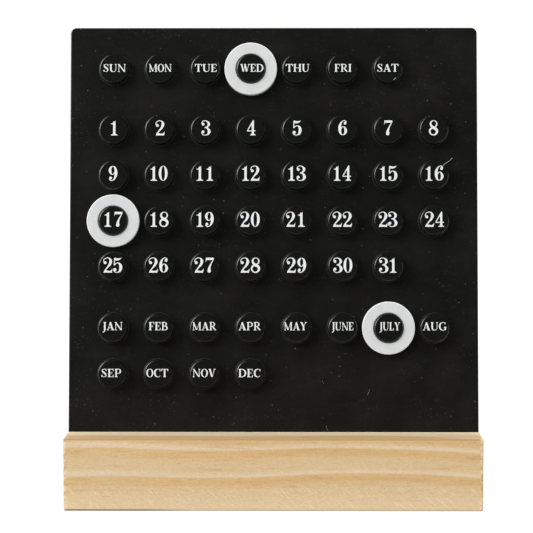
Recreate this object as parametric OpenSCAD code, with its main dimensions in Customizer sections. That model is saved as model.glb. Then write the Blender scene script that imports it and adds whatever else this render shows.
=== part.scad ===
// Perpetual desk calendar.
// A black board with a field of round studs leans in a slotted wooden block. Three
// white rings hang on the studs and mark the weekday, the date and the month.
//
// Origin: middle of the block's underside. +X right, -Y front, +Z up, in millimetres.
// The board has a frame of its own, which starts where its face meets the block's
// top: x across, y into the board's thickness, z up along its face.

/* [Marked day] */

// Weekday under its ring, where 0 is Sunday
weekday_shown = 3; // [0:1:6]
// Date under its ring
date_shown = 17; // [1:1:31]
// Month under its ring
month_shown = 7; // [1:1:12]

/* [Stud field] */

// Studs in a full row of dates or months
columns = 8; // [7:1:12]
// Distance between neighbouring stud centres, across and down
pitch = 16; // [13:0.5:24]
// Extra space between the weekdays, the dates and the months
group_space = 5.4; // [3:0.1:15]
// Board left of the first and right of the last column's centres
side_margin = 15.45; // [8:0.05:40]
// Board above the weekday row's centres
top_margin = 14.95; // [8:0.05:40]
// Board between the last month row's centres and the block
foot_margin = 20.1; // [8:0.1:60]

/* [Studs] */

// Diameter of a stud
stud_d = 10.3; // [6:0.1:12.5]
// Height of a stud above the board's face
stud_h = 4; // [3.5:0.1:8]
// Rounding of a stud's rim
stud_rim_r = 0.8; // [0.2:0.1:1.5]
// Radius of the hollow curve in which a stud springs from the board
stud_root_r = 0.4; // [0.1:0.05:0.5]

/* [Board] */

// Thickness of the board
board_t = 4; // [2:0.1:8]
// Corner radius of the board, seen from the front
board_corner_r = 2; // [1:0.1:10]
// Rounding of the board's moulded edges, front and back
board_edge_r = 0.5; // [0.2:0.1:0.9]

/* [Block] */

// Block beyond the board at each side
block_overhang = 0.3; // [0:0.1:20]
// Depth of the block, front to back
block_d = 40; // [28:0.5:90]
// Height of the block
block_h = 25; // [18:0.5:60]
// Radius of the block's four long arrises
block_arris_r = 0.8; // [0.2:0.1:3]
// Bevel round the block's sawn ends
block_end_bevel = 0.4; // [0.2:0.1:2]

/* [Slot] */

// Lean of the board from upright, in degrees
lean = 8; // [2:0.5:15]
// Depth of the slot, measured along the board
slot_depth = 12; // [6:0.5:15]
// From the block's front to the board's face, at the block's top
slot_setback = 14.5; // [8:0.5:20]
// Clearance between the board and each wall of the slot
slot_wall_clear = 0.15; // [0.05:0.05:0.5]
// Clearance between the board's foot and the slot's floor
slot_floor_clear = 0.1; // [0.05:0.05:0.5]

/* [Rings] */

// Thickness of a ring
ring_t = 3; // [1.5:0.1:3.5]
// Clearance between a ring and its stud, all round
ring_bore_clear = 0.15; // [0.05:0.05:0.5]
// Clearance between a ring and the next studs
ring_neighbour_clear = 1.65; // [0.5:0.05:3]
// Clearance between a ring and the board's face
ring_seat_clear = 0.1; // [0.05:0.05:0.5]
// Rounding of a ring's outer edges
ring_outer_r = 0.4; // [0.2:0.1:1.5]
// Rounding of a ring's bore edges
ring_bore_r = 0.25; // [0.1:0.05:1]

/* [Hidden] */

$fn = 96;

WEEKDAYS = 7;
DATES = 31;
MONTHS = 12;
CUT = 1; // how far a cutting tool reaches past what it cuts
ROOT_STEP = 0.03; // height at which the curve round a stud's root ends

board_black = [0.08, 0.08, 0.075];
ring_white = [0.93, 0.93, 0.92];
pine = [0.87, 0.74, 0.57];

// The field's rows: weekdays, dates and months, from the top down.
date_rows = ceil(DATES / columns);
month_rows = ceil(MONTHS / columns);
month_row_z = foot_margin + (month_rows - 1) * pitch;
date_row_z = month_row_z + group_space + date_rows * pitch;
weekday_row_z = date_row_z + group_space + pitch;
first_column_x = -(columns - 1) / 2 * pitch;

board_w = (columns - 1) * pitch + 2 * side_margin;
board_rise = weekday_row_z + top_margin;
board_foot = slot_depth - slot_floor_clear;

block_w = board_w + 2 * block_overhang;
slot_y = slot_setback - block_d / 2;
slot_w = board_t + 2 * slot_wall_clear;

stud_r = stud_d / 2;
ring_bore_radius = stud_r + ring_bore_clear;
ring_radius = pitch - stud_r - ring_neighbour_clear;
// The wall's section is drawn as two plate edges, back to back. A narrow or thin
// wall limits their rounding.
ring_wall = ring_radius - ring_bore_radius;
ring_outer_part = 0.6 * ring_wall;
ring_bore_part = ring_wall - ring_outer_part;
ring_outer_round = min(ring_outer_r, 0.9 * ring_outer_part, 0.45 * ring_t);
ring_bore_round = min(ring_bore_r, 0.9 * ring_bore_part, 0.45 * ring_t);
// A seated ring's bore edge clears the curve round the stud's root.
root_r = min(stud_root_r, ring_bore_round + ring_bore_clear + ring_seat_clear);

// Centre of a group's stud number i, counted from 0, as [x, z] on the board's face.
function stud_at(i, first_row_z) =
    [first_column_x + (i % columns) * pitch, first_row_z - floor(i / columns) * pitch];

// Outline of w by h round the origin, with corner radius r.
module rounded_rect(w, h, r) {
    square([w - 2 * r, h], center = true);
    square([w, h - 2 * r], center = true);
    for (x = [-1, 1], y = [-1, 1])
        translate([x * (w / 2 - r), y * (h / 2 - r)]) circle(r);
}

// Outline of w by h round the origin, with its corners cut at 45 degrees by c.
module bevelled_rect(w, h, c) {
    x = w / 2;
    y = h / 2;
    polygon([
        [-x + c, -y], [x - c, -y], [x, -y + c], [x, y - c],
        [x - c, y], [-x + c, y], [-x, y - c], [-x, -y + c],
    ]);
}

// Right half of a rounded outline: the edge of a plate, reach wide and t thick.
module plate_edge(reach, t, edge_r) {
    intersection() {
        rounded_rect(2 * reach, t, edge_r);
        translate([0, -t / 2]) square([reach, t]);
    }
}

// Plate round the origin in the XY plane, with rounded corners and soft edges.
module soft_plate(w, h, t, corner_r, edge_r) {
    corner_x = w / 2 - corner_r;
    corner_y = h / 2 - corner_r;

    // The middle, with the top and bottom edges.
    rotate([90, 0, 90])
        linear_extrude(2 * corner_x, center = true) rounded_rect(h, t, edge_r);
    // The two side edges.
    for (side = [0, 180])
        rotate([0, 0, side]) translate([corner_x, 0, 0]) rotate([90, 0, 0])
            linear_extrude(2 * corner_y, center = true) plate_edge(corner_r, t, edge_r);
    // The four corners.
    for (x = [0, 1], y = [0, 1])
        mirror([x, 0, 0]) mirror([0, y, 0]) translate([corner_x, corner_y, 0])
            rotate_extrude(angle = 90) plate_edge(corner_r, t, edge_r);
}

// Places its children in the board's own frame.
module on_board() {
    translate([0, slot_y, block_h]) rotate([-lean, 0, 0]) children();
}

// Places its children on the board's face at [x, z], with their +Z out of the face.
module at_stud(place) {
    on_board() translate([place.x, 0, place.y]) rotate([90, 0, 0]) children();
}

// A stud: a cylinder with a rounded rim and a hollow curve round its root.
module stud() {
    rotate_extrude() {
        stud_half();
        stud_root();
    }
}

// Right half of a stud's section.
module stud_half() {
    intersection() {
        rounded_rect(stud_d, 2 * stud_h, stud_rim_r);
        square([stud_r, stud_h]);
    }
}

// Right half of a root's section, which ends in a low step and not in a sharp edge.
module stud_root() {
    root_h = root_r + ROOT_STEP;
    difference() {
        square([stud_r + root_r, root_h]);
        translate([stud_r + root_r, root_h]) circle(root_r);
    }
}

// Studs of one group: count of them, in rows from first_row_z down.
module stud_group(count, first_row_z) {
    color(board_black)
        for (i = [0 : count - 1]) at_stud(stud_at(i, first_row_z)) stud();
}

// A marker ring, the same from both sides, seated over the stud at [x, z].
module ring_over(place) {
    color(ring_white) at_stud(place)
        translate([0, 0, ring_seat_clear + ring_t / 2]) rotate_extrude() ring_section();
}

// Section of a ring's wall, softer outside than in its bore.
module ring_section() {
    translate([ring_radius - ring_outer_part, 0]) {
        plate_edge(ring_outer_part, ring_t, ring_outer_round);
        mirror([1, 0]) plate_edge(ring_bore_part, ring_t, ring_bore_round);
    }
}

// The block: a planed bar with eased arrises, bevelled at its sawn ends.
module block_bar() {
    translate([0, 0, block_h / 2]) intersection() {
        rotate([90, 0, 90])
            linear_extrude(block_w, center = true) rounded_rect(block_d, block_h, block_arris_r);
        linear_extrude(block_h, center = true) bevelled_rect(block_w, block_d, block_end_bevel);
        rotate([90, 0, 0])
            linear_extrude(block_d, center = true) bevelled_rect(block_w, block_h, block_end_bevel);
    }
}

// The saw-cut slot runs the block's whole width and is open above and at both ends.
module slot_cut() {
    on_board()
        translate([-block_w / 2 - CUT, -slot_wall_clear, -slot_depth])
            cube([block_w + 2 * CUT, slot_w, slot_depth + board_t + CUT]);
}

module base_block() {
    color(pine) difference() {
        block_bar();
        slot_cut();
    }
}

// The board's plate stands on its foot in the slot.
module board_panel() {
    board_l = board_foot + board_rise;
    color(board_black) on_board()
        translate([0, board_t / 2, board_l / 2 - board_foot]) rotate([90, 0, 0])
            soft_plate(board_w, board_l, board_t, board_corner_r, board_edge_r);
}

module weekday_studs() {
    stud_group(WEEKDAYS, weekday_row_z);
}

module date_studs() {
    stud_group(DATES, date_row_z);
}

module month_studs() {
    stud_group(MONTHS, month_row_z);
}

module weekday_ring() {
    ring_over(stud_at(weekday_shown, weekday_row_z));
}

module date_ring() {
    ring_over(stud_at(date_shown - 1, date_row_z));
}

module month_ring() {
    ring_over(stud_at(month_shown - 1, month_row_z));
}

base_block();
board_panel();
weekday_studs();
date_studs();
month_studs();
weekday_ring();
date_ring();
month_ring();
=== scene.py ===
"""Looks, lettering, light and camera of the perpetual desk calendar.

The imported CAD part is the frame. Its block, board, studs and rings keep their shapes
and get materials here. The printed figures and words, and some fibres of lint, are new.
Sizes of the object are in millimetres, and are turned into Blender's metres where
meshes are made. Sizes of the studio are in metres.
"""

import math

import bmesh
import bpy
from mathutils import Matrix, Vector
from mathutils.geometry import delaunay_2d_cdt


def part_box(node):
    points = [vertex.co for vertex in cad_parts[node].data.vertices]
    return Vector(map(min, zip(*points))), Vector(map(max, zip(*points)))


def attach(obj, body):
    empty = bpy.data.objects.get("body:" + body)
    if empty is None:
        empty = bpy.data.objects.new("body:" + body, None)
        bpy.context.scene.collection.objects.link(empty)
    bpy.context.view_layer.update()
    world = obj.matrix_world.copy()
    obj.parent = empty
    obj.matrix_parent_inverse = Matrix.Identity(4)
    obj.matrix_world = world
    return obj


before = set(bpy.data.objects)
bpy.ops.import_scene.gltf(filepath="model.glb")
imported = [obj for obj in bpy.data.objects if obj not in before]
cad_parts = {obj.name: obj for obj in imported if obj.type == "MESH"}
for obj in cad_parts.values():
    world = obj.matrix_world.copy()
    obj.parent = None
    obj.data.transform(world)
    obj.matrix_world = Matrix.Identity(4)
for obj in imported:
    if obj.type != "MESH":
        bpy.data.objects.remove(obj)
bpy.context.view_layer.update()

MM = 0.001


def node_box(node):
    """A CAD node's lowest and highest corners, to the micrometre."""
    return [[round(value / MM, 3) for value in corner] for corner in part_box(node)]


# ---- layout: the CAD's driving sizes, and what follows from them and from the frame --
DATES, MONTH_COUNT = 31, 12
COLUMNS = 8
PITCH = 16.0
GROUP_SPACE = 5.4  # more than the pitch, between the weekdays, the dates and the months
FOOT_MARGIN = 20.1  # from the last row's centres down to the block
STUD_HEIGHT = 4.0
BOARD_THICKNESS = 4.0
LEAN = math.radians(8)
SLOT_SETBACK = 14.5  # from the block's front to the board's face, at the block's top

FIRST_COLUMN = -(COLUMNS - 1) / 2 * PITCH
MONTH_ROW = FOOT_MARGIN + (math.ceil(MONTH_COUNT / COLUMNS) - 1) * PITCH
DATE_ROW = MONTH_ROW + GROUP_SPACE + math.ceil(DATES / COLUMNS) * PITCH
WEEKDAY_ROW = DATE_ROW + GROUP_SPACE + PITCH

block_low, block_high = node_box("base_block")
BLOCK_LENGTH = block_high[0] - block_low[0]
BLOCK_HEIGHT = block_high[2]
BOARD_FOOT_Y = block_low[1] + SLOT_SETBACK
SLOT_MIDDLE = BOARD_FOOT_Y + BOARD_THICKNESS / 2

# Directions that a surface can face.
RIGHT, BACK, UP = (1, 0, 0), (0, 1, 0), (0, 0, 1)
OUT_OF_BOARD = (0, -math.cos(LEAN), math.sin(LEAN))
DOWN_BOARD = (0, -math.sin(LEAN), -math.cos(LEAN))


def on_board(u, v, n):
    """Point of the row frame, in metres: u across, v up along the face, n out of it."""
    s, c = math.sin(LEAN), math.cos(LEAN)
    return Vector((u, BOARD_FOOT_Y + v * s - n * c, BLOCK_HEIGHT + v * c + n * s)) * MM


def stud_place(index, first_row):
    """Centre of a group's stud number index, counted from 0."""
    return FIRST_COLUMN + index % COLUMNS * PITCH, first_row - index // COLUMNS * PITCH


# ---- node trees ---------------------------------------------------------------------
MIX_FACTOR, MIX_A, MIX_B, MIX_RESULT = 0, 6, 7, 2  # the sockets of a Mix node for colours
NOISE_MEAN = 0.5
NOISE_RANGE = (0.3, 0.7)  # nearly all of a noise lies in it


def linear(red, green, blue):
    """Scene colour of an sRGB colour given from 0 to 255."""
    def channel(value):
        value /= 255
        return value / 12.92 if value <= 0.04045 else ((value + 0.055) / 1.055) ** 2.4
    return channel(red), channel(green), channel(blue), 1


class Graph:
    """A node tree, written as calls that add a node and return its output."""

    def __init__(self, tree):
        self.tree = tree
        tree.nodes.clear()

    def add(self, kind, inputs=(), **settings):
        """A node. Its inputs, by name or number, are linked or set; the settings are its own."""
        node = self.tree.nodes.new("ShaderNode" + kind)
        for name, value in settings.items():
            setattr(node, name, value)
        for key, value in dict(inputs).items():
            if isinstance(value, bpy.types.NodeSocket):
                self.tree.links.new(value, node.inputs[key])
            else:
                node.inputs[key].default_value = value
        return node

    def math(self, operation, *values):
        return self.add("Math", enumerate(values), operation=operation).outputs[0]

    def chain(self, operation, values):
        """The values, taken together by one operation from first to last."""
        result = values[0]
        for value in values[1:]:
            result = self.math(operation, result, value)
        return result

    def total(self, *values):
        return self.chain("ADD", values)

    def product(self, *values):
        return self.chain("MULTIPLY", values)

    def minus(self, value, taken):
        return self.math("SUBTRACT", value, taken)

    def absolute(self, value):
        return self.math("ABSOLUTE", value)

    def towards(self, direction):
        """How far the surface faces a direction, from -1 to 1."""
        inputs = {0: self.add("NewGeometry").outputs["Normal"], 1: direction}
        return self.add("VectorMath", inputs, operation="DOT_PRODUCT").outputs["Value"]

    def noise(self, vector, scale=1.0, detail=2.0, roughness=0.5):
        inputs = {"Vector": vector, "Scale": scale, "Detail": detail, "Roughness": roughness}
        return self.add("TexNoise", inputs).outputs[0]

    def grain(self, vector, sizes, **settings):
        """Noise with a grain size of its own along each axis."""
        inputs = {0: vector, 1: tuple(1 / size for size in sizes)}
        stretched = self.add("VectorMath", inputs, operation="MULTIPLY").outputs[0]
        return self.noise(stretched, **settings)

    def between(self, value, low, high, to_low=0.0, to_high=1.0):
        """value from low to high becomes to_low to to_high, with soft ends and no overshoot."""
        inputs = {"Value": value, "From Min": low, "From Max": high, "To Min": to_low, "To Max": to_high}
        return self.add("MapRange", inputs, interpolation_type="SMOOTHSTEP").outputs[0]

    def mix(self, factor, a, b, blend="MIX"):
        inputs = {MIX_FACTOR: factor, MIX_A: a, MIX_B: b}
        return self.add("Mix", inputs, data_type="RGBA", blend_type=blend).outputs[MIX_RESULT]

    def ramp(self, value, stops, interpolation="LINEAR"):
        """Grey levels at places from 0 to 1."""
        node = self.add("ValToRGB", {0: value})
        node.color_ramp.interpolation = interpolation
        elements = node.color_ramp.elements
        elements[0].position, elements[1].position = stops[0][0], stops[-1][0]
        for place, _ in stops[1:-1]:
            elements.new(place)
        for element, (_, level) in zip(elements, stops):
            element.color = (level, level, level, 1)
        return node.outputs[0]

    def bump(self, height, distance):
        """Surface relief, where a height of 1 stands the given millimetres proud."""
        inputs = {"Height": height, "Distance": distance * MM, "Strength": 1.0}
        return self.add("Bump", inputs).outputs[0]


class Spot:
    """The shaded point in the object's own millimetres: the vector and its three parts."""

    def __init__(self, g):
        place = g.add("TexCoord").outputs["Object"]
        self.vector = g.add("VectorMath", {0: place, "Scale": 1 / MM}, operation="SCALE").outputs[0]
        self.x, self.y, self.z = g.add("SeparateXYZ", {0: self.vector}).outputs[:3]


def new_material(name):
    """An empty material and its graph."""
    result = bpy.data.materials.new(name)
    result.use_nodes = True
    return result, Graph(result.node_tree)


def material(name, build, **fixed):
    """A Principled material. build returns its linked inputs; fixed inputs stay on the socket."""
    result, graph = new_material(name)
    inputs = {key.replace("_", " "): value for key, value in fixed.items()}
    shader = graph.add("BsdfPrincipled", inputs | build(graph))
    graph.add("OutputMaterial", {0: shader.outputs[0]})
    return result


# ---- pine ---------------------------------------------------------------------------
PITH_Y, PITH_Z = -30.0, -30.0  # middle of the log, below and in front of the block
# Growth rings' outer edges, as distances from the pith.
RING_EDGES = (8.0, 17.0, 28.5, 43.5, 52.45, 57.3, 60.6, 64.0, 67.5, 71.5, 75.0, 79.0, 83.0)
WAVE_HEIGHT, WAVE_LENGTH, WAVE_CREST = 0.5, 93.0, 28.0  # the rings' rise and fall along the block
WANDER_HEIGHT = 1.6  # how far the rings stray from an even curve, from lowest to highest
RING_TILT = 0.014  # rise of the lower rings for each mm along the block
END_DROOP = 1.2  # fall of the rings at the block's right end
EARLY_WIDTH, LATE_WIDTH = 1.75, 2.9  # a ring's pale inner band and orange outer band
EARLY_LOSS = 0.5  # how much narrower the pale bands are at the right than at the left
SAW_MARK_WIDTH, SAW_MARK_LENGTH = 0.8, 5
PINE_ROUGHNESS = (0.52, 0.66)
PINE_RELIEF = 0.05  # height of the rough end grain
FIBRE_HEIGHT, LATE_HEIGHT, SAW_MARK_HEIGHT = 0.5, 0.3, 1.5  # as multiples of that
# Distances from a ring's inner or outer edge between which its bands begin and end.
EARLY_START, EARLY_END = (-0.5, 0.5), (EARLY_WIDTH + 0.7, EARLY_WIDTH - 0.9)
LATE_START, LATE_END = (LATE_WIDTH + 1.6, LATE_WIDTH - 1.2), (-0.5, 0.9)

# Places along one axis: where a thing sets in and where it is at its full. Its strengths
# there follow, where they aren't 0 and 1.
TILT_Z = (19.0, 12.0, 0.0, RING_TILT)
DROOP_X = (46.0, 74.0, 0.0, -END_DROOP)
LATE_X = (-72.0, -20.0, 0.65, 1.0)
EARLY_LOSS_X = (-60.0, 20.0, 0.0, EARLY_LOSS)
OPEN_PORES_Z = (12.0, 6.0, 0.34, 0.52)
WORN_Z = (9.0, 2.0, 0.0, 0.42)
SAW_MARKS_Z = (9.5, 5.5)
PAINTED_SHADOW_X = (-26.0, -46.0)
GREY_Y = (-14.8, -9.5, 0.05, 0.75)
DARKER_FRONT_Y = (-10.0, -14.8, 0.0, 0.3)
SLOT_EDGE = (5.2, 3.0, 0.0, 0.8)  # from the slot's middle
BLOCK_END = (1.5, 0.4)  # from the block's end

# The same for noises: where one begins to show as a thing, and where it does.
STREAKS = (0.50, 0.72, 0.0, 0.55)
STAINS = (0.60, 0.78, 0.0, 0.40)
DUCTS = (0.72, 0.82, 0.0, 0.55)
SAWN_PATCHES = (0.36, 0.62)
SAW_LINES = (0.50, 0.72)
PALE_END = (*NOISE_RANGE, 0.0, 0.5)
TORN, BURNT = (0.45, 0.60), (0.45, 0.32)

# How far a surface faces one way: where it begins to count as that part, and where it does.
FACING_UP = (0.8, 0.97)
FACING_END = (0.55, 0.9)
FACING_ARRIS = (0.12, 0.42)  # the product of up or down with forwards or backwards
FOOT_ARRIS_FROM, FOOT_ARRIS_TO = (-0.2, -0.5), (-1.0, -0.97)  # from the side round to the underside

# Grain sizes along the block, through it and up.
WANDER_GRAIN = (38, 14, 14)
STREAK_GRAIN = (9, 0.9, 0.9)
STAIN_GRAIN = (26, 1.3, 1.3)
FINE_GRAIN = (4.0, 0.40, 0.40)
BROAD_GRAIN = (50, 2.2, 2.2)
PORE_GRAIN = (0.7, 0.32, 0.32)
DUCT_GRAIN = (5.0, 0.46, 0.46)
PATCH_GRAIN = (9, 9, 4)
END_GRAIN = (3.0, 0.25, 0.25)
TORN_GRAIN = (1.2, 1.2, 1.2)

# How strongly a thing colours the wood where it is at its full.
FINE_DEPTH, BROAD_DEPTH = 0.20, 0.14
SHADE_WARMTH = 1.7  # blue falls off this many times as fast as red and green
SAW_MARK_STRENGTH = 0.68
ARRIS_STRENGTH = 0.85
END_STRENGTH, END_RING_STRENGTH = 0.75, 0.55
TORN_STRENGTH, BURNT_STRENGTH = 0.8, 0.75

PINE_EARLY = linear(230, 206, 170)
PINE_MID = linear(224, 194, 150)
PINE_LATE = linear(221, 183, 127)
PINE_WORN = linear(236, 212, 173)
# greyer than the sides, and paled as painted light on the top
PINE_TOP_TONE_AND_LIGHT = linear(231, 216, 190)
# darker: painted shade on the upper arrises, and the top's darker front
PINE_ARRIS = linear(168, 134, 90)
PINE_STREAK = linear(205, 160, 104)
PINE_BURNT = linear(200, 142, 66)
# a painted contact shadow under the block's foot
PINE_PAINTED_SHADOW = linear(66, 44, 24)
PINE_END = linear(214, 174, 122)
PINE_RING = linear(186, 134, 80)
PINE_FLECK = linear(160, 110, 66)
# pale splinters and saw marks, and also painted light on the lower arrises and along the slot
PINE_SPLINTER_AND_LIGHT = linear(250, 228, 186)


def log_radius(g, at):
    """Distance from the pith, with the waves and the droop of the grain taken off."""
    turn = g.product(g.minus(at.x, WAVE_CREST), 2 * math.pi / WAVE_LENGTH)
    wave = g.product(g.math("COSINE", turn), WAVE_HEIGHT)
    wander = g.grain(at.vector, WANDER_GRAIN, detail=4, roughness=0.6)
    drift = g.product(g.minus(wander, NOISE_MEAN), WANDER_HEIGHT)
    tilt = g.product(at.x, g.between(at.z, *TILT_Z))
    droop = g.between(at.x, *DROOP_X)
    down = g.minus(g.minus(at.z, PITH_Z), g.total(wave, drift, tilt, droop))
    along = g.minus(at.y, PITH_Y)
    return g.math("SQRT", g.total(g.product(down, down), g.product(along, along)))


def ring_place(g, at):
    """Distances in mm from a point to the inner and the outer edge of its growth ring."""
    low, high = RING_EDGES[0], RING_EDGES[-1]
    place = g.math("DIVIDE", g.minus(log_radius(g, at), low), high - low)
    widths = [outer - inner for inner, outer in zip(RING_EDGES, RING_EDGES[1:])]
    starts = [(edge - low) / (high - low) for edge in RING_EDGES]
    count, widest = len(widths), max(widths)
    number = g.ramp(place, [(start, i / count) for i, start in enumerate(starts)])
    share = g.ramp(place, [(start, width / widest) for start, width in zip(starts, widths)], "CONSTANT")
    width = g.product(share, widest)
    inward = g.product(g.math("FRACT", g.product(number, count)), width)
    return inward, g.minus(width, inward)


def growth_bands(g, at):
    """Each ring's pale early and streaked orange late wood: the colour, and where it is late."""
    inner, outer = ring_place(g, at)
    late = g.product(g.between(outer, *LATE_START), g.between(outer, *LATE_END))
    colour = g.mix(g.product(late, g.between(at.x, *LATE_X)), PINE_MID, PINE_LATE)
    streaks = g.grain(at.vector, STREAK_GRAIN, detail=3, roughness=0.6)
    streaked = g.product(late, g.between(streaks, *STREAKS))
    colour = g.mix(streaked, colour, PINE_STREAK)
    within = g.total(inner, g.between(at.x, *EARLY_LOSS_X))
    early = g.product(g.between(within, *EARLY_END), g.between(inner, *EARLY_START))
    colour = g.mix(early, colour, PINE_EARLY)
    stain = g.grain(at.vector, STAIN_GRAIN)
    return g.mix(g.between(stain, *STAINS), colour, PINE_STREAK), late


def wood_fibres(g, at, colour):
    """Short fibres over long ones, open pores, and short dark resin ducts: the colour, and the fibres."""
    fine = g.grain(at.vector, FINE_GRAIN, detail=3, roughness=0.7)
    broad = g.grain(at.vector, BROAD_GRAIN)
    pores = g.grain(at.vector, PORE_GRAIN, roughness=0.6)
    depths = ((fine, FINE_DEPTH), (broad, BROAD_DEPTH), (pores, g.between(at.z, *OPEN_PORES_Z)))
    shade = g.total(*[g.product(g.minus(noise, NOISE_MEAN), depth) for noise, depth in depths], 1.0)
    warm = g.math("POWER", shade, SHADE_WARMTH)
    tint = g.add("CombineColor", {0: shade, 1: shade, 2: warm}).outputs[0]
    colour = g.mix(1.0, colour, tint, "MULTIPLY")
    ducts = g.grain(at.vector, DUCT_GRAIN, detail=1)
    return g.mix(g.between(ducts, *DUCTS), colour, PINE_FLECK), fine


def saw_marks(g, at, colour):
    """A paler lower third, with broken saw marks slanting over it: the colour, and the marks."""
    colour = g.mix(g.between(at.z, *WORN_Z), colour, PINE_WORN)
    place = {0: g.math("DIVIDE", g.total(at.x, at.z), SAW_MARK_WIDTH),
             1: g.math("DIVIDE", at.z, SAW_MARK_LENGTH)}
    lines = g.noise(g.add("CombineXYZ", place).outputs[0])
    patches = g.grain(at.vector, PATCH_GRAIN)
    marked = g.product(g.between(at.z, *SAW_MARKS_Z), g.between(patches, *SAWN_PATCHES))
    marks = g.product(marked, SAW_MARK_STRENGTH, g.between(lines, *SAW_LINES))
    return g.mix(marks, colour, PINE_SPLINTER_AND_LIGHT), marks


def arris_light_and_shade(g, at, colour):
    """Long arrises, with painted shade on the upper ones and painted light on the lower ones, and a painted
    contact shadow under the foot at the left.
    """
    up = g.towards(UP)
    arris = g.between(g.product(g.absolute(g.towards(BACK)), g.absolute(up)), *FACING_ARRIS)
    upper = g.math("GREATER_THAN", at.z, BLOCK_HEIGHT / 2)
    lower = g.math("LESS_THAN", at.z, BLOCK_HEIGHT / 2)
    # painted shade: the upper arrises' rounding is darkened against the light it catches
    colour = g.mix(g.product(arris, upper, ARRIS_STRENGTH), colour, PINE_ARRIS)
    # painted light: the lower arrises are paled where they would lie in shade
    colour = g.mix(g.product(arris, lower), colour, PINE_SPLINTER_AND_LIGHT)
    # painted shadow: a dark contact line under the foot, fading out towards the middle
    underneath = g.product(g.between(up, *FOOT_ARRIS_FROM), g.between(up, *FOOT_ARRIS_TO))
    return g.mix(g.product(underneath, g.between(at.x, *PAINTED_SHADOW_X)), colour, PINE_PAINTED_SHADOW)


def planed_top(g, at, colour):
    """Greyer and paler than the sides, the paleness painted light, darker towards the front, and with
    painted light along the slot.
    """
    above = g.between(g.towards(UP), *FACING_UP)
    # painted light: the top is paled towards the back, so it is as bright as the front, and greyed
    colour = g.mix(g.product(above, g.between(at.y, *GREY_Y)), colour, PINE_TOP_TONE_AND_LIGHT)
    # darker towards the front
    colour = g.mix(g.product(above, g.between(at.y, *DARKER_FRONT_Y)), colour, PINE_ARRIS)
    # painted light along the slot's edge, where the board shades the top
    lit_slot_edge = g.between(g.absolute(g.minus(at.y, SLOT_MIDDLE)), *SLOT_EDGE)
    return g.mix(g.product(above, lit_slot_edge), colour, PINE_SPLINTER_AND_LIGHT)


def sawn_ends(g, at, colour, late):
    """Darker and rougher ends, with torn and burnt fibres on the long sides along their edges."""
    end = g.between(g.absolute(g.towards(RIGHT)), *FACING_END)
    rough = g.grain(at.vector, END_GRAIN, detail=3)
    end_colour = g.mix(g.between(rough, *PALE_END), PINE_END, PINE_LATE)
    end_colour = g.mix(g.product(late, END_RING_STRENGTH), end_colour, PINE_RING)
    colour = g.mix(g.product(end, END_STRENGTH), colour, end_colour)
    to_end = g.minus(BLOCK_LENGTH / 2, g.absolute(at.x))
    edge = g.product(g.between(to_end, *BLOCK_END), g.minus(1.0, end))
    torn = g.grain(at.vector, TORN_GRAIN, detail=3)
    colour = g.mix(g.product(edge, g.between(torn, *TORN), TORN_STRENGTH), colour, PINE_SPLINTER_AND_LIGHT)
    colour = g.mix(g.product(edge, g.between(torn, *BURNT), BURNT_STRENGTH), colour, PINE_BURNT)
    return colour, g.product(end, rough)


def pine_nodes(g):
    """The wood as it grew, and over it what the saw, the plane and the desk did to it."""
    at = Spot(g)
    colour, late = growth_bands(g, at)
    colour, fine = wood_fibres(g, at, colour)
    colour, marks = saw_marks(g, at, colour)
    colour = arris_light_and_shade(g, at, colour)
    colour = planed_top(g, at, colour)
    colour, rough_ends = sawn_ends(g, at, colour, late)
    relief = g.total(g.product(fine, FIBRE_HEIGHT), g.product(late, LATE_HEIGHT),
                     g.product(marks, SAW_MARK_HEIGHT), rough_ends)
    return {"Base Color": colour,
            "Roughness": g.between(fine, *NOISE_RANGE, *PINE_ROUGHNESS),
            "Normal": g.bump(relief, PINE_RELIEF)}


# ---- black board and studs ----------------------------------------------------------
BOARD_BLACK = linear(18.5, 18.5, 16)
STUD_BLACK = linear(18.5, 18.5, 17)
# lighter than the stud: painted light on its root
ROOT_PAINTED_LIGHT = linear(32, 32, 30)
BOARD_DUST = linear(54, 53, 47)
SPECK = linear(104, 103, 98)
# a painted highlight on the board's rounded edges
EDGE_PAINTED_HIGHLIGHT = linear(34, 34, 32)
BOARD_MOULD, CLOUD, DRIFT, STUD_MOULD = 3.0, 0.06, 0.11, 2.2  # grains of these noises in a mm
WIPED_GRAIN = (7, 7, 2.5)
# Where a noise begins to show, and where it does, with its strengths there.
CLOUDS, WIPES = (0.35, 0.75, 0.0, 0.14), (0.45, 0.80, 0.0, 0.07)
MOULD_HAZE, STUD_HAZE = (0.5, 0.9, 0.0, 0.2), (0.5, 0.9, 0.0, 0.12)
DRIFTS = (0.42, 0.66, 0.05, 0.40)
SPECK_CHANCE = (0.28, 1.08)  # a speck's random number, from where it shows to its full brightness
# Specks of dust: their radius, and the space between them.
DRIFTING_SPECKS, SMALL_SPECKS, LARGE_SPECKS = (0.30, 0.95), (0.32, 2.6), (0.42, 8.0)
STUD_SPECKS = (0.3, 3.4)
DULL_BELOW, GLOSSY_ABOVE = 0.6, 2.2  # heights over the board's face
UNWORN_BELOW, WORN_ABOVE = 48.0, 56.0  # heights over the desk
# How far a surface faces out of the board where an edge begins, and where it has turned away.
BOARD_EDGE, MARKER_EDGE = (0.98, 0.85), (0.995, 0.93)
FACING_DOWN = (0.15, 0.6)  # where a stud's rim begins to face down, and where it does

BOARD_ROUGHNESS, EDGE_SMOOTHER = (0.40, 0.52), 0.2
BOARD_SPECULAR = (0.16, 0.6)  # on the faces, and along the edges
STUD_ROUGHNESS, ROOT_ROUGHER, UNWORN_ROUGHER = (0.16, 0.22), 0.35, 0.1
STUD_SPECULAR, LEAST_SPECULAR = (0.35, 0.75), 0.12  # from root to face, and the least anywhere
BOARD_RELIEF, STUD_RELIEF = 0.010, 0.0008


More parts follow.
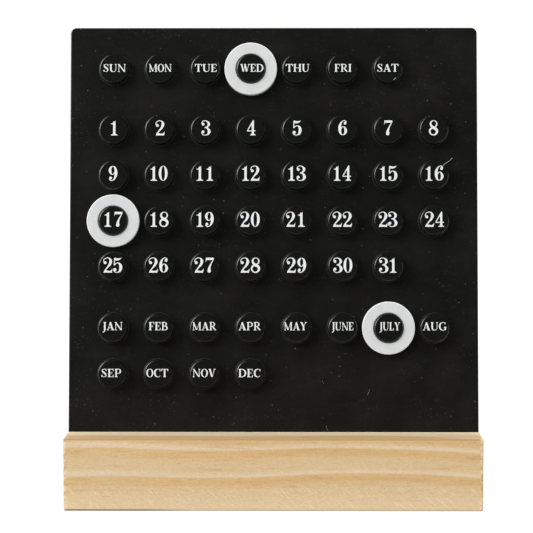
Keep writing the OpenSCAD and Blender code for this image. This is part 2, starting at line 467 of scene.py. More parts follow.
def dust(g, vector, radius, spacing):
    """Scattered specks of dust, up to 1 at the middle of the brightest."""
    cells = g.add("TexVoronoi", {"Vector": vector, "Scale": 1 / spacing}, feature="F1").outputs
    chance = g.add("SeparateColor", {0: cells["Color"]}).outputs[0]
    speck = g.between(cells["Distance"], radius / spacing, 0.0)
    return g.product(speck, g.between(chance, *SPECK_CHANCE))


def turned_away(g, edge):
    """0 on what lies along the board's faces, rising to 1 where an edge turns from them."""
    return g.between(g.absolute(g.towards(OUT_OF_BOARD)), *edge)


def board_nodes(g):
    """Matte, hazy with dust that drifts in places, and rubbed to a gloss along its rounded edges, which
    also get a lighter colour as a painted highlight.
    """
    vector = Spot(g).vector
    mould = g.noise(vector, BOARD_MOULD, detail=3, roughness=0.6)
    cloud = g.noise(vector, CLOUD, detail=3, roughness=0.55)
    wiped = g.grain(vector, WIPED_GRAIN, detail=3, roughness=0.6)
    haze = g.total(g.between(cloud, *CLOUDS), g.between(wiped, *WIPES), g.between(mould, *MOULD_HAZE))
    colour = g.mix(haze, BOARD_BLACK, BOARD_DUST)
    drifts = g.between(g.noise(vector, DRIFT, detail=4, roughness=0.65), *DRIFTS)
    colour = g.mix(g.product(dust(g, vector, *DRIFTING_SPECKS), drifts), colour, SPECK)
    colour = g.mix(dust(g, vector, *SMALL_SPECKS), colour, SPECK)
    colour = g.mix(dust(g, vector, *LARGE_SPECKS), colour, SPECK)
    edge = turned_away(g, BOARD_EDGE)
    matte = g.between(mould, *NOISE_RANGE, *BOARD_ROUGHNESS)
    # painted highlight: the rounded edges get a lighter colour
    return {"Base Color": g.mix(edge, colour, EDGE_PAINTED_HIGHLIGHT),
            "Roughness": g.minus(matte, g.product(edge, EDGE_SMOOTHER)),
            "Specular IOR Level": g.between(edge, 0.0, 1.0, *BOARD_SPECULAR),
            "Normal": g.bump(mould, BOARD_RELIEF)}


def stud_nodes(g):
    """Glossy where the rings rub a stud's face and rim, and dull at its root, where a lighter colour is
    painted light.

    The rings seldom reach the lowest row, so it keeps the mould's dull finish under its rims."""
    at = Spot(g)
    mould = g.noise(at.vector, STUD_MOULD, detail=3, roughness=0.6)
    colour = g.mix(g.between(mould, *STUD_HAZE), STUD_BLACK, BOARD_DUST)
    colour = g.mix(dust(g, at.vector, *STUD_SPECKS), colour, SPECK)
    height = g.total(g.product(g.minus(BOARD_FOOT_Y, at.y), math.cos(LEAN)),
                     g.product(g.minus(at.z, BLOCK_HEIGHT), math.sin(LEAN)))
    dull = g.between(height, GLOSSY_ABOVE, DULL_BELOW)
    below = g.between(g.towards(DOWN_BOARD), *FACING_DOWN)
    unworn = g.product(below, g.between(at.z, WORN_ABOVE, UNWORN_BELOW))
    gloss = g.product(g.between(height, DULL_BELOW, GLOSSY_ABOVE, *STUD_SPECULAR), g.minus(1.0, unworn))
    smooth = g.between(mould, *NOISE_RANGE, *STUD_ROUGHNESS)
    # painted light: the root is lightened all round, standing in for light thrown up from below
    return {"Base Color": g.mix(dull, colour, ROOT_PAINTED_LIGHT),
            "Roughness": g.total(smooth, g.product(dull, ROOT_ROUGHER), g.product(unworn, UNWORN_ROUGHER)),
            "Specular IOR Level": g.math("MAXIMUM", gloss, LEAST_SPECULAR),
            "Normal": g.bump(mould, STUD_RELIEF)}


# ---- white rings, ink and lint ------------------------------------------------------
RING_GREY, RING_WHITE, RING_RIM_HIGHLIGHT = linear(211, 212, 213), linear(217, 218, 218), linear(240, 241, 241)
INK_GREY, INK_WHITE = linear(228, 230, 230), linear(236, 238, 238)
LINT_GREY, LINT_WHITE = linear(150, 150, 145), linear(225, 225, 220)
FLOW, SKIN, INK_GRAIN, TUFT = 0.35, 2.5, 6.0, 2.0  # grains of these noises in a mm
RING_ROUGHNESS, INK_ROUGHNESS = (0.24, 0.32), (0.5, 0.62)
RING_RELIEF, INK_RELIEF = 0.008, 0.004


def ring_nodes(g):
    """Satin, with faint flow marks of the mould, and a painted highlight on the rounded edges."""
    vector = Spot(g).vector
    flow = g.noise(vector, FLOW, detail=3)
    skin = g.noise(vector, SKIN)
    colour = g.mix(g.between(flow, *NOISE_RANGE), RING_GREY, RING_WHITE)
    # painted highlight on the rounded edges
    return {"Base Color": g.mix(turned_away(g, MARKER_EDGE), colour, RING_RIM_HIGHLIGHT),
            "Roughness": g.between(skin, *NOISE_RANGE, *RING_ROUGHNESS),
            "Normal": g.bump(skin, RING_RELIEF)}


def ink_nodes(g):
    grain = g.noise(Spot(g).vector, INK_GRAIN)
    return {"Base Color": g.mix(g.between(grain, *NOISE_RANGE), INK_GREY, INK_WHITE),
            "Roughness": g.between(grain, *NOISE_RANGE, *INK_ROUGHNESS),
            "Normal": g.bump(grain, INK_RELIEF)}


def lint_nodes(g):
    return {"Base Color": g.mix(g.noise(Spot(g).vector, TUFT), LINT_GREY, LINT_WHITE)}


PINE = material("pine", pine_nodes)
BOARD = material("black_board", board_nodes)
STUD = material("black_stud", stud_nodes)
RING = material("white_ring", ring_nodes)
INK = material("white_ink", ink_nodes)
LINT = material("lint", lint_nodes, Roughness=0.9)


def dress(node, finish):
    """Gives a CAD node its material."""
    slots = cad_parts[node].data.materials
    slots.clear()
    slots.append(finish)


dress("base_block", PINE)
dress("board_panel", BOARD)
for studs in ("weekday_studs", "date_studs", "month_studs"):
    dress(studs, STUD)
for ring in ("weekday_ring", "date_ring", "month_ring"):
    dress(ring, RING)


# ---- lettering: heavy serif figures and capitals ------------------------------------
# A glyph is a list of convex pieces drawn on a cap height of 1, with the baseline at 0.
STEM = 0.213  # width of a capital's thick strokes
POST = 0.185  # and of those that carry a lobe
HAIR = 0.10  # and of its thin ones
THINNEST = 0.09  # no drawn stroke is narrower
SERIF = STEM / 2 + 0.07  # half the length of a thick stroke's serif
THIN_SERIF = 0.14
SERIF_T = 0.085  # thickness of a serif at its ends
BALL_SIDES, BOWL_SIDES = 16, 32
PEN_STEPS = 5  # straight pieces between two points of a stroke


def spline(t, a, b, c, d):
    """Catmull-Rom value between b and c."""
    return b + t * (c - a) / 2 + t**2 * (2 * a - 5 * b + 4 * c - d) / 2 + t**3 * (3 * b - a - 3 * c + d) / 2


def smooth_line(points, steps):
    """A smooth line through points, as steps straight pieces from each to the next."""
    ends = [points[0], *points, points[-1]]
    line = []
    for four in zip(ends, ends[1:], ends[2:], ends[3:]):
        for i in range(steps):
            line.append([spline(i / steps, *values) for values in zip(*four)])
    return [*line, points[-1]]


def box(x0, y0, x1, y1):
    return [[(x0, y0), (x1, y0), (x1, y1), (x0, y1)]]


def shape(*points):
    return [list(points)]


def ball(x, y, r):
    turn = 2 * math.pi / BALL_SIDES
    return [[(x + r * math.cos(i * turn), y + r * math.sin(i * turn)) for i in range(BALL_SIDES)]]


def pen(*points):
    """A stroke through (x, y, width) points, as a chain of four-sided pieces."""
    line = smooth_line(points, PEN_STEPS)
    sides = []
    for i, (x, y, width) in enumerate(line):
        x0, y0, _ = line[max(i - 1, 0)]
        x1, y1, _ = line[min(i + 1, len(line) - 1)]
        half = max(width, THINNEST) / 2 / math.hypot(x1 - x0, y1 - y0)
        nx, ny = (y0 - y1) * half, (x1 - x0) * half
        sides.append(((x + nx, y + ny), (x - nx, y - ny)))
    return [[a[0], a[1], b[1], b[0]] for a, b in zip(sides, sides[1:])]


def bowl(outer, inner):
    """The space between two ellipses, each given as (x, y, x radius, y radius)."""
    def at(e, i):
        a = 2 * math.pi * i / BOWL_SIDES
        return e[0] + e[2] * math.cos(a), e[1] + e[3] * math.sin(a)
    return [[at(outer, i), at(outer, i + 1), at(inner, i + 1), at(inner, i)] for i in range(BOWL_SIDES)]


def serif(x, half, width, y=0, up=1, rise=0.07):
    """A bracketed serif on a stem of that width: half its length each side, from y up or down."""
    s = width / 2
    curve = [(s + (half - s) * (1 - f) ** 2, SERIF_T + rise * f**2) for f in (0, 0.35, 0.7, 1)]
    pieces = []
    for side in (1, -1):
        points = [(0, 0), (half, 0), *curve, (0, SERIF_T + rise)]
        points = [(x + side * px, y + up * py) for px, py in points]
        pieces += [[points[0], points[i], points[i + 1]] for i in range(1, len(points) - 1)]
    return pieces


def stem(x, width, half, y0=0, y1=1, top=True, bottom=True):
    """An upright stroke, with serifs of that half length where it ends free."""
    pieces = box(x - width / 2, y0, x + width / 2, y1)
    if bottom:
        pieces += serif(x, half, width, y0)
    if top:
        pieces += serif(x, half, width, y1, -1)
    return pieces


def arm(x0, x1, y, beak):
    """A thin bar along y with a beak at its far end, up from the foot or down from the top."""
    bar = HAIR if beak > 0 else -HAIR
    return (box(x0, min(y, y + bar), x1, max(y, y + bar))
            + shape((x1 - 0.16, y), (x1, y), (x1 + 0.04, y + beak), (x1 - 0.045, y + beak)))


def lobe(x, y0, y1, reach, heavy):
    """The round side of a P, B or R, from a stem at x, with its thickest width."""
    middle, thin = (y0 + y1) / 2, HAIR / 2
    bend = 0.34 * (y1 - y0)
    far = x + reach - heavy / 2
    return pen((x, y1 - thin, HAIR), (x + reach * 0.5, y1 - thin * 1.1, HAIR * 1.15),
               (far - 0.01, middle + bend * 0.55, heavy * 0.93), (far, middle, heavy),
               (far - 0.01, middle - bend * 0.55, heavy * 0.93),
               (x + reach * 0.5, y0 + thin * 1.1, HAIR * 1.15), (x, y0 + thin, HAIR))


def turned(pieces, width):
    """The pieces of a glyph of that width, turned upside down."""
    return [[(width - x, 1 - y) for x, y in piece] for piece in pieces]


def round_back(right):
    """The open curve that C and G share, from upper right to lower right."""
    return pen((right, 0.76, 0.07), (right - 0.10, 0.92, 0.09), (right - 0.27, 0.96, 0.11),
               (0.20, 0.82, 0.19), (0.115, 0.50, STEM), (0.20, 0.18, 0.19),
               (right - 0.27, 0.045, 0.11), (right - 0.08, 0.09, 0.09), (right + 0.02, 0.22, 0.06))


SIX = (
    ball(0.455, 0.80, 0.11)
    + pen((0.55, 0.84, 0.05), (0.49, 0.935, 0.06), (0.36, 0.965, 0.07), (0.22, 0.86, 0.13),
          (0.125, 0.64, 0.20), (0.115, 0.38, 0.22), (0.18, 0.13, 0.15), (0.305, 0.035, 0.07))
    + pen((0.305, 0.035, 0.07), (0.43, 0.12, 0.15), (0.50, 0.30, 0.21), (0.44, 0.50, 0.15),
          (0.34, 0.58, 0.075), (0.24, 0.52, 0.05), (0.20, 0.40, 0.05))
)

# Each glyph's width and pieces.
GLYPHS = {
    "0": (0.61, bowl((0.305, 0.5, 0.305, 0.505), (0.305, 0.5, 0.095, 0.435))),
    "1": (0.47, box(0.145, 0.02, 0.335, 0.93) + serif(0.24, 0.23, 0.19, rise=0.11)
          + shape((0.335, 0.9), (0.335, 1.0), (0.295, 1.0), (0.24, 0.92), (0.145, 0.84), (0.145, 0.7))
          + shape((0.145, 0.7), (0.145, 0.84), (0.07, 0.815), (0.0, 0.81), (0.0, 0.73), (0.08, 0.725))),
    "2": (0.61, ball(0.14, 0.66, 0.115)
          + pen((0.035, 0.69, 0.05), (0.075, 0.87, 0.06), (0.26, 0.968, 0.065), (0.42, 0.92, 0.13),
                (0.495, 0.74, 0.22), (0.42, 0.52, 0.18), (0.24, 0.30, 0.12), (0.09, 0.09, 0.12))
          + shape((0.0, 0.0), (0.59, 0.0), (0.605, 0.13), (0.4, 0.15), (0.2, 0.175), (0.06, 0.14))
          + shape((0.40, 0.13), (0.605, 0.10), (0.62, 0.30), (0.57, 0.30), (0.53, 0.20), (0.47, 0.165))),
    "3": (0.63, ball(0.135, 0.74, 0.11) + ball(0.13, 0.25, 0.115)
          + pen((0.035, 0.77, 0.045), (0.10, 0.92, 0.06), (0.28, 0.968, 0.065), (0.45, 0.87, 0.16),
                (0.50, 0.73, 0.20), (0.41, 0.58, 0.13), (0.23, 0.52, 0.07))
          + pen((0.23, 0.52, 0.07), (0.42, 0.47, 0.14), (0.525, 0.28, 0.23), (0.46, 0.11, 0.16),
                (0.28, 0.033, 0.065), (0.10, 0.08, 0.06), (0.03, 0.23, 0.045))),
    "4": (0.58, box(0.30, 0.04, 0.475, 0.80) + serif(0.3875, 0.20, 0.175, rise=0.10)
          + shape((0.30, 0.70), (0.475, 0.70), (0.475, 1.0), (0.43, 1.0))
          + pen((0.035, 0.30, 0.10), (0.235, 0.66, 0.105), (0.435, 1.0, 0.11))
          + shape((0.0, 0.255), (0.53, 0.255), (0.575, 0.235), (0.575, 0.38), (0.53, 0.36), (0.0, 0.355))),
    "5": (0.62, box(0.06, 0.47, 0.15, 0.97)
          + shape((0.08, 1.0), (0.08, 0.80), (0.24, 0.775), (0.24, 0.96))
          + shape((0.24, 0.96), (0.24, 0.775), (0.37, 0.79), (0.37, 0.955))
          + shape((0.37, 0.955), (0.37, 0.79), (0.48, 0.84), (0.59, 0.98), (0.59, 1.0), (0.48, 0.97))
          + ball(0.13, 0.215, 0.12)
          + pen((0.10, 0.47, 0.05), (0.20, 0.60, 0.06), (0.33, 0.635, 0.10), (0.47, 0.54, 0.19),
                (0.51, 0.33, 0.23), (0.44, 0.12, 0.17), (0.28, 0.033, 0.065), (0.11, 0.085, 0.07),
                (0.03, 0.21, 0.045))),
    "6": (0.61, SIX),
    "7": (0.57, shape((0.03, 1.0), (0.57, 1.0), (0.57, 0.93), (0.50, 0.81), (0.10, 0.81))
          + shape((0.03, 1.0), (0.10, 0.81), (0.045, 0.68), (0.0, 0.68))
          + pen((0.545, 0.95, 0.06), (0.48, 0.79, 0.09), (0.36, 0.57, 0.12), (0.27, 0.34, 0.18),
                (0.25, 0.15, 0.245)) + ball(0.25, 0.125, 0.127)),
    "8": (0.63, bowl((0.32, 0.75, 0.268, 0.258), (0.335, 0.765, 0.127, 0.158))
          + bowl((0.315, 0.285, 0.318, 0.298), (0.295, 0.265, 0.15, 0.162))
          + pen((0.15, 0.66, 0.15), (0.315, 0.51, 0.20), (0.50, 0.38, 0.15))),
    "9": (0.61, turned(SIX, 0.61)),
    "A": (0.86, pen((0.14, 0.03, 0.11), (0.42, 0.97, 0.12)) + pen((0.405, 0.98, 0.20), (0.69, 0.03, 0.235))
          + box(0.2, 0.25, 0.6, 0.25 + HAIR) + serif(0.13, 0.14, 0.08) + serif(0.69, 0.175, 0.21)),
    "B": (0.76, stem(0.185, POST, SERIF) + lobe(0.2, 0.47, 1, 0.44, 0.18)
          + lobe(0.2, 0, 0.56, 0.53, 0.20)),
    "C": (0.78, round_back(0.70) + box(0.655, 0.68, 0.75, 0.99)),
    "D": (0.90, stem(0.185, STEM, SERIF)
          + pen((0.2, 0.95, HAIR), (0.46, 0.935, 0.12), (0.70, 0.76, 0.19), (0.775, 0.50, STEM),
                (0.70, 0.24, 0.19), (0.46, 0.065, 0.12), (0.2, 0.05, HAIR))),
    "E": (0.70, stem(0.185, STEM, SERIF) + arm(0.2, 0.63, 1, -0.29) + arm(0.2, 0.64, 0, 0.30)
          + box(0.2, 0.46, 0.48, 0.46 + HAIR) + box(0.42, 0.36, 0.49, 0.66)),
    "F": (0.66, stem(0.185, STEM, SERIF) + arm(0.2, 0.62, 1, -0.30)
          + box(0.2, 0.44, 0.47, 0.44 + HAIR) + box(0.41, 0.34, 0.48, 0.64)),
    "G": (0.88, round_back(0.72) + box(0.67, 0.68, 0.765, 0.99) + box(0.62, 0.06, 0.83, 0.40)
          + serif(0.725, 0.18, 0.21, y=0.46, up=-1)),
    "H": (0.94, stem(0.185, STEM, SERIF) + stem(0.755, STEM, SERIF)
          + box(0.18, 0.455, 0.76, 0.455 + HAIR)),
    "I": (0.37, stem(0.185, STEM, SERIF)),
    "J": (0.44, stem(0.26, 0.21, 0.175, y0=0.05, bottom=False)
          + pen((0.26, 0.10, 0.21), (0.235, -0.06, 0.17), (0.14, -0.19, 0.12), (0.03, -0.24, 0.08))
          + ball(0.07, -0.19, 0.07)),
    "L": (0.68, stem(0.185, STEM, SERIF) + arm(0.2, 0.62, 0, 0.32)),
    "M": (1.06, stem(0.15, HAIR, THIN_SERIF, top=False) + pen((0.13, 0.98, 0.165), (0.50, 0.06, 0.175))
          + pen((0.51, 0.05, 0.08), (0.84, 0.98, 0.10)) + stem(0.88, POST, 0.175, top=False)
          + box(0.0, 0.92, 0.22, 1.0) + box(0.80, 0.92, 1.05, 1.0)),
    "N": (0.92, stem(0.15, HAIR, THIN_SERIF, top=False) + pen((0.13, 0.98, 0.165), (0.745, 0.04, 0.175))
          + stem(0.775, HAIR, THIN_SERIF, bottom=False) + box(0.0, 0.92, 0.2, 1.0)),
    "O": (0.84, bowl((0.42, 0.5, 0.42, 0.515), (0.42, 0.5, 0.205, 0.415))),
    "P": (0.74, stem(0.185, POST, SERIF) + lobe(0.2, 0.40, 1, 0.51, 0.185)),
    "R": (0.84, stem(0.185, POST, SERIF) + lobe(0.2, 0.44, 1, 0.48, 0.18)
          + pen((0.38, 0.50, 0.15), (0.58, 0.20, 0.19), (0.76, 0.04, 0.12)) + box(0.62, 0.0, 0.83, 0.07)),
    "S": (0.64, pen((0.52, 0.75, 0.06), (0.46, 0.90, 0.08), (0.31, 0.96, 0.09), (0.14, 0.86, 0.14),
                (0.15, 0.68, 0.18), (0.32, 0.52, 0.23), (0.49, 0.34, 0.18), (0.50, 0.16, 0.14),
                (0.34, 0.045, 0.09), (0.17, 0.10, 0.08), (0.08, 0.26, 0.06))
          + box(0.475, 0.70, 0.57, 0.99) + box(0.03, 0.01, 0.125, 0.30)),
    "T": (0.82, stem(0.41, STEM, SERIF, top=False) + box(0.02, 1 - HAIR, 0.80, 1.0)
          + shape((0.02, 1.0), (-0.01, 0.69), (0.08, 0.69), (0.19, 0.93), (0.19, 1.0))
          + shape((0.80, 1.0), (0.83, 0.69), (0.74, 0.69), (0.63, 0.93), (0.63, 1.0))),
    "U": (0.88, pen((0.185, 0.97, STEM), (0.185, 0.34, STEM), (0.27, 0.11, 0.18), (0.45, 0.045, 0.11),
                (0.63, 0.11, 0.10), (0.72, 0.34, HAIR), (0.72, 0.97, HAIR))
          + serif(0.185, SERIF, STEM, y=1, up=-1) + serif(0.72, THIN_SERIF, HAIR, y=1, up=-1)),
    "V": (0.84, pen((0.165, 0.97, 0.23), (0.42, 0.03, 0.20)) + pen((0.44, 0.02, 0.09), (0.695, 0.97, HAIR))
          + serif(0.165, 0.165, 0.21, y=1, up=-1) + serif(0.70, THIN_SERIF, HAIR, y=1, up=-1)),
    "W": (1.16, pen((0.155, 0.97, 0.22), (0.37, 0.03, 0.19)) + pen((0.39, 0.02, 0.09), (0.57, 0.90, HAIR))
          + pen((0.55, 0.97, 0.22), (0.77, 0.03, 0.19)) + pen((0.79, 0.02, 0.09), (1.02, 0.97, HAIR))
          + serif(0.155, 0.155, 0.20, y=1, up=-1) + serif(1.02, THIN_SERIF, HAIR, y=1, up=-1)
          + box(0.42, 0.94, 0.70, 1.0)),
    "Y": (0.82, stem(0.41, STEM, SERIF, y1=0.44, top=False) + pen((0.16, 0.97, 0.23), (0.42, 0.42, 0.22))
          + pen((0.43, 0.42, 0.09), (0.68, 0.97, HAIR)) + serif(0.16, 0.16, 0.21, y=1, up=-1)
          + serif(0.68, THIN_SERIF, HAIR, y=1, up=-1)),
}

INSIDE_OUTLINES = 1  # the triangulation keeps what lies in the pieces' outlines
WELD = 1e-5  # points nearer than this become one
SLIMMING = 0.022  # how far every outline is drawn in, as the ink dries back from its edge
SHARPEST = 0.5  # limits how far the point of a sharp corner is drawn in
NEEDLE = 0.2  # a corner with hardly any width, which stays as it is
FIGURE_HEIGHT, FIGURE_GAP = 5.45, 0.06
FIGURE_LIFTS = (0.40, 0.50, 0.40, 0.40)  # above the studs' centres, row by row
LETTER_GAP = 0.02
INK_DEPTH, INK_SUNK = 0.03, 0.02  # proud of the stud's face, and sunk into it
# Each word with its width and its place right of the stud's centre.
WEEKDAYS = [("SUN", 8.0, 0.36), ("MON", 8.0, 0.38), ("TUE", 7.85, 0.34), ("WED", 8.2, 0.46),
            ("THU", 8.35, 0.42), ("FRI", 6.0, 0.26), ("SAT", 7.55, -0.06)]
WEEKDAY_HEIGHT, WEEKDAY_LIFTS = 2.85, (0.10,)
MONTHS = [("JAN", 7.0, 0.13), ("FEB", 6.75, 0.05), ("MAR", 8.4, 0.05), ("APR", 7.9, -0.20),
          ("MAY", 8.0, -0.35), ("JUNE", 7.6, 0.05), ("JULY", 7.2, 0.39), ("AUG", 8.3, -0.08),
          ("SEP", 7.1, -0.22), ("OCT", 7.7, -0.29), ("NOV", 8.1, -0.02), ("DEC", 7.8, -0.25)]
MONTH_HEIGHT, MONTH_LIFTS = 2.95, (0.58, 0.34)
FIGURE_SHIFT = {"1": 0.35, "2": 0.35, "3": 0.4, "4": 0.25, "5": 0.2, "6": 0.15, "8": -0.2, "10": 0.07,
                "11": 0.06, "12": 0.07, "13": 0.2, "15": 0.1, "16": 0.14, "17": 0.25, "18": 0.3,
                "19": 0.2, "20": -0.15, "21": -0.36, "22": -0.08, "23": -0.17, "25": 0.08, "27": -0.1,
                "28": -0.06, "30": 0.12, "31": -0.26}
# Labels whose figures stand closer together or further apart than the rest.
FIGURE_GAPS = {"11": 0.17, "14": 0.09, "16": 0.11, "17": 0.15, "18": 0.10, "21": 0.14, "22": 0.04,
               "23": 0.0, "25": 0.02, "27": 0.10, "30": 0.02}

# Each fibre of lint: its way as (u, v, n), and its radius.
FIBRES = (
    (((58.8, 92.45, 4.08), (59.6, 93.25, 4.12), (60.42, 93.85, 3.5), (61.2, 94.38, 2.5),
      (61.94, 95.08, 1.2), (62.63, 95.84, 0.08)), 0.055),
    (((41.87, 122.82, 4.06), (42.34, 123.15, 4.08), (42.8, 123.56, 4.06)), 0.065),
    (((18.27, 2.12, 0.25), (18.66, 1.22, 0.3), (19.11, 0.39, 0.3)), 0.06),
    (((16.97, 17.96, 0.06), (17.28, 17.26, 0.06), (17.56, 16.64, 0.06)), 0.03),
    (((26.13, 18.07, 0.06), (26.48, 17.58, 0.06)), 0.05),
    (((33.43, 14.88, 0.06), (33.15, 13.84, 0.06), (32.8, 12.86, 0.06)), 0.018),
    (((31.23, 11.4, 0.06), (31.44, 11.02, 0.06)), 0.03),
)
FIBRE_SIDES = [math.radians(a) for a in (0, 72, 144, 216, 288)]
FIBRE_STEPS = 4  # straight pieces between two points of a fibre


def merged(pieces):
    """One flat triangle mesh of overlapping pieces: its points and its triangles."""
    points, outlines = [], []
    for piece in pieces:
        area = sum(a[0] * b[1] - b[0] * a[1] for a, b in zip(piece, piece[1:] + piece[:1]))
        start = len(points)
        points += [Vector(point) for point in (piece if area > 0 else piece[::-1])]
        outlines.append(list(range(start, len(points))))
    points, _, faces, _, _, sources = delaunay_2d_cdt(points, [], outlines, INSIDE_OUTLINES, WELD)
    inside = [face for face, source in zip(faces, sources) if source]
    return slimmed(points, inside), inside


def border(faces):
    """The directed edges that only one face has, with that face on their left."""
    edges = {edge for face in faces for edge in zip(face, face[1:] + face[:1])}
    return [(a, b) for a, b in edges if (b, a) not in edges]


def slimmed(points, faces):
    """The points, with those on the outline drawn in."""
    inward = {}
    for a, b in sorted(border(faces)):
        along = (points[b] - points[a]).normalized()
        for end in (a, b):
            inward.setdefault(end, []).append(Vector((-along.y, along.x)))
    result = [point.copy() for point in points]
    for index, sides in inward.items():
        middle = sum(sides, Vector((0, 0)))
        if middle.length > NEEDLE:
            middle.normalize()
            result[index] += middle * SLIMMING / max(middle.dot(sides[0]), SHARPEST)
    return result


FLAT = {char: merged(pieces) for char, (_, pieces) in GLYPHS.items()}


def word_width(word, gap):
    return sum(GLYPHS[char][0] for char in word) + gap * (len(word) - 1)


def print_glyph(mesh, char, u, v, stretch, height):
    """Adds a glyph's thin slab of ink, with its lower left corner at (u, v) on a stud's face."""
    points, faces = FLAT[char]
    levels = []
    for n in (STUD_HEIGHT + INK_DEPTH, STUD_HEIGHT - INK_SUNK):
        levels.append([mesh.verts.new(on_board(u + p.x * stretch, v + p.y * height, n)) for p in points])
    upper, lower = levels
    for face in faces:
        mesh.faces.new([upper[i] for i in face])
        mesh.faces.new([lower[i] for i in reversed(face)])
    for a, b in sorted(border(faces)):
        mesh.faces.new((upper[b], upper[a], lower[a], lower[b]))


def print_word(mesh, word, u, v, stretch, height, gap):
    """Adds a word's ink, centred at (u, v) on a stud's face."""
    u -= word_width(word, gap) * stretch / 2
    v -= height / 2
    for char in word:
        print_glyph(mesh, char, u, v, stretch, height)
        u += (GLYPHS[char][0] + gap) * stretch


def placed(name, data):
    """A new object of the scene."""
    result = bpy.data.objects.new(name, data)
    bpy.context.scene.collection.objects.link(result)
    return result


def add_piece(name, mesh, finish, body="board"):
    """Turns a bmesh into a named piece with a material, riding on a CAD body."""
    data = bpy.data.meshes.new(name)
    bmesh.ops.delete(mesh, geom=[v for v in mesh.verts if not v.link_faces], context="VERTS")
    mesh.normal_update()
    mesh.to_mesh(data)
    mesh.free()
    data.materials.append(finish)
    result = placed(name, data)
    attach(result, body)


def print_dates():
    mesh = bmesh.new()
    for day in range(DATES):
        figures = str(day + 1)
        u, v = stud_place(day, DATE_ROW)
        u += FIGURE_SHIFT.get(figures, 0.0)
        v += FIGURE_LIFTS[day // COLUMNS]
        gap = FIGURE_GAPS.get(figures, FIGURE_GAP)
        print_word(mesh, figures, u, v, FIGURE_HEIGHT, FIGURE_HEIGHT, gap)
    add_piece("date_figures", mesh, INK)


def print_words(name, words, first_row, height, lifts):
    mesh = bmesh.new()
    for i, (word, width, shift) in enumerate(words):
        u, v = stud_place(i, first_row)
        stretch = width / word_width(word, LETTER_GAP)
        print_word(mesh, word, u + shift, v + lifts[i // COLUMNS], stretch, height, LETTER_GAP)
    add_piece(name, mesh, INK)


def add_fibre(mesh, path, radius):
    """Adds a fibre, round and closed at both ends."""
    offsets = [(radius * math.cos(a), radius * math.sin(a)) for a in FIBRE_SIDES]
    loops = []
    for u, v, n in smooth_line(path, FIBRE_STEPS):
        loops.append([mesh.verts.new(on_board(u + du, v - du, n + dn)) for du, dn in offsets])
    for low, high in zip(loops, loops[1:]):
        for i in range(len(low)):
            mesh.faces.new((low[i - 1], low[i], high[i], high[i - 1]))
    mesh.faces.new(loops[0])
    mesh.faces.new(loops[-1][::-1])


def lay_lint():
    """A long fibre hangs from a stud's face to the board. Short ones lie on a stud and on the board."""
    mesh = bmesh.new()
    for path, radius in FIBRES:
        add_fibre(mesh, path, radius)
    bmesh.ops.recalc_face_normals(mesh, faces=mesh.faces)
    add_piece("lint_fibres", mesh, LINT)


lay_lint()
print_dates()
print_words("weekday_letters", WEEKDAYS, WEEKDAY_ROW, WEEKDAY_HEIGHT, WEEKDAY_LIFTS)
print_words("month_letters", MONTHS, MONTH_ROW, MONTH_HEIGHT, MONTH_LIFTS)

# ---- studio, in metres --------------------------------------------------------------
FLOOR_GREY = linear(168, 168, 168)
FLOOR_LIFT = 0.70  # share of white that the camera sees whatever the light
FLOOR_SIZE = 12.0
SKY_LOW, SKY_HIGH = 0.55, 1.55  # light of the world at the horizon and overhead
KEY_AIM = (0, 70, 0)  # the middle of the board, in its own millimetres
KEY_FROM = Vector((-1.60, -1.15, 1.02))  # from there, upper left in front
KEY_SIZE = 1.25
KEY_POWER = 23.0
# The card's bends as (y, z, left edge), from before the object, round above it, to behind it.
CARD_BENDS = ((-0.022, 0.002, -1.1), (-0.95, 0.002, -1.1), (-0.95, 1.2, -0.5), (0.95, 1.2, -0.5),
              (0.95, 0.3, -0.5))
CARD_RIGHT = 4.0
CARD_FOLD = 0.1  # height at which the standing part's colour is reached
CARD_LYING, CARD_STANDING = linear(86, 86, 86), linear(54, 54, 54)


def seen_directly(g):
    """1 for rays of the camera, of a reflection or through glass, and 0 for light's rays."""
    path = g.add("LightPath").outputs
    seen = g.math("MAXIMUM", path["Is Camera Ray"], path["Is Glossy Ray"])
    return g.math("MAXIMUM", seen, path["Is Transmission Ray"])


def height_part(g, kind):
    """The upward part of the object's or the world's own coordinates."""
    return g.add("SeparateXYZ", {0: g.add("TexCoord").outputs[kind]}).outputs[2]


def studio_piece(name, points, finish):
    """A sheet of the studio, from the two ends of each of its bends."""
    data = bpy.data.meshes.new(name)
    data.from_pydata(points, [], [(i, i + 1, i + 3, i + 2) for i in range(0, len(points) - 2, 2)])
    data.materials.append(finish)
    result = placed(name, data)
    return result


def floor_material():
    result, g = new_material("studio_floor")
    sheet = g.add("BsdfDiffuse", {"Color": FLOOR_GREY})
    glow = g.add("Emission", {"Strength": g.product(seen_directly(g), FLOOR_LIFT)})
    both = g.add("AddShader", {0: sheet.outputs[0], 1: glow.outputs[0]})
    g.add("OutputMaterial", {0: both.outputs[0]})
    return result


def card_nodes(g):
    """Lighter where it lies than where it stands."""
    standing = g.between(height_part(g, "Object"), 0.0, CARD_FOLD)
    return {"Base Color": g.mix(standing, CARD_LYING, CARD_STANDING)}


def make_floor():
    half = FLOOR_SIZE / 2
    points = [(x, y, 0) for y in (-half, half) for x in (-half, half)]
    studio_piece("studio_floor", points, floor_material())


def make_card():
    """A dark card that only reflections see.

    It lies before the object, stands behind the camera, hangs overhead and ends behind the object."""
    points = [(x, y, z) for y, z, left in CARD_BENDS for x in (left, CARD_RIGHT)]
    finish = material("studio_card", card_nodes, Roughness=0.9, Specular_IOR_Level=0.0)
    card = studio_piece("studio_card", points, finish)
    card.visible_camera = False
    card.visible_diffuse = False
    card.visible_shadow = False
    card.visible_transmission = False


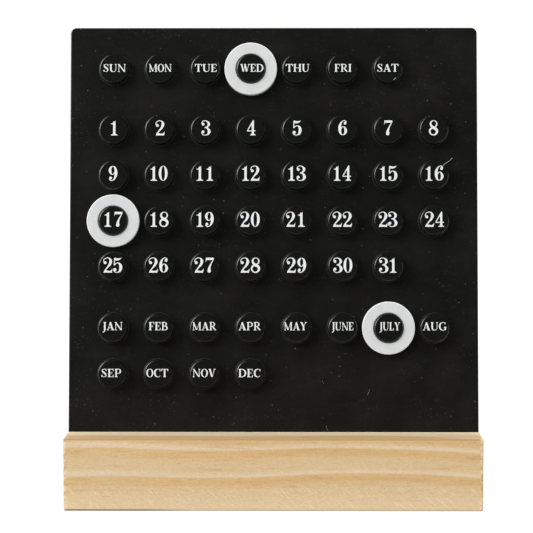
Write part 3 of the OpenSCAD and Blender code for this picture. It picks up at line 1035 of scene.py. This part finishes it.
def make_world():
    world = bpy.data.worlds.new("studio")
    world.use_nodes = True
    bpy.context.scene.world = world
    g = Graph(world.node_tree)
    span = {"Value": height_part(g, "Generated"), "To Min": SKY_LOW, "To Max": SKY_HIGH}
    light = g.add("MapRange", span).outputs[0]
    strength = g.add("MapRange", {"Value": seen_directly(g), "To Min": light, "To Max": 1.0})
    sky = g.add("Background", {"Color": (1, 1, 1, 1), "Strength": strength.outputs[0]})
    g.add("OutputWorld", {0: sky.outputs[0]})


def make_key():
    data = bpy.data.lights.new("key", "AREA")
    data.shape = "DISK"
    data.size = KEY_SIZE
    data.energy = KEY_POWER
    key = placed("key", data)
    key.location = on_board(*KEY_AIM) + KEY_FROM
    key.rotation_euler = (-KEY_FROM).to_track_quat("-Z", "Y").to_euler()


CAMERA_PLACE = Vector((4.72, -694.41, 140.22)) * MM
CAMERA_PITCH, CAMERA_YAW, CAMERA_ROLL = (math.radians(a) for a in (4.766, -0.589, -0.03))
SENSOR, FOCAL_PIXELS, IMAGE_PIXELS = 36.0, 2000.0, 533


def camera_turn():
    """The camera's rotation from its pitch, yaw and roll."""
    ahead = Vector((math.sin(CAMERA_YAW) * math.cos(CAMERA_PITCH),
                    math.cos(CAMERA_YAW) * math.cos(CAMERA_PITCH), -math.sin(CAMERA_PITCH)))
    level = Vector((math.cos(CAMERA_YAW), -math.sin(CAMERA_YAW), 0))
    up = level.cross(ahead)
    right = level * math.cos(CAMERA_ROLL) + up * math.sin(CAMERA_ROLL)
    up = up * math.cos(CAMERA_ROLL) - level * math.sin(CAMERA_ROLL)
    return Matrix((right, up, -ahead)).transposed().to_quaternion()


def make_camera():
    data = bpy.data.cameras.new("camera")
    data.sensor_width = SENSOR
    data.lens = FOCAL_PIXELS * SENSOR / IMAGE_PIXELS
    camera = placed("camera", data)
    camera.matrix_world = Matrix.LocRotScale(CAMERA_PLACE, camera_turn(), None)
    bpy.context.scene.camera = camera


make_floor()
make_card()
make_world()
make_key()
make_camera()
bpy.context.scene.view_settings.view_transform = "Standard"
